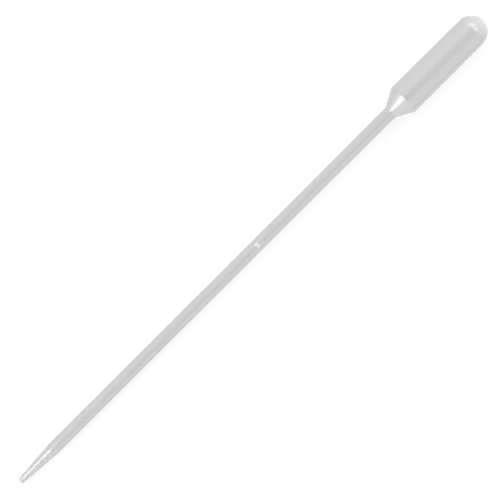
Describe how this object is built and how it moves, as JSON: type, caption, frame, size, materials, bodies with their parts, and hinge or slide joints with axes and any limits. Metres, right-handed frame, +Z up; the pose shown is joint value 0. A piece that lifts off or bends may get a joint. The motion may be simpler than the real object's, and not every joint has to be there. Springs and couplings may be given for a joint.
{
  "type": "plastic dropper pipette",
  "caption": "Moulded soft plastic dropper pipette, hollow throughout: domed squeeze bulb, short conical shoulder, long slender stem and a tapered tip with an open end.",
  "frame": {"origin": "centre of the bounding box's underside, on the surface that the pipette lies on", "axes": "+X along the pipette from the tip to the bulb, +Z up; the pipette lies on the lower end of its stem and on its shoulder, so its own axis climbs 1.2 degrees from -X to +X"},
  "size_m": [0.3, 0.0156, 0.0162],
  "materials": {
    "polyethylene": "milky translucent low-density polyethylene, blow-moulded, with a soft satin skin"
  },
  "bodies": {
    "root": {"pipette": "polyethylene"}
  },
  "joints": []
}
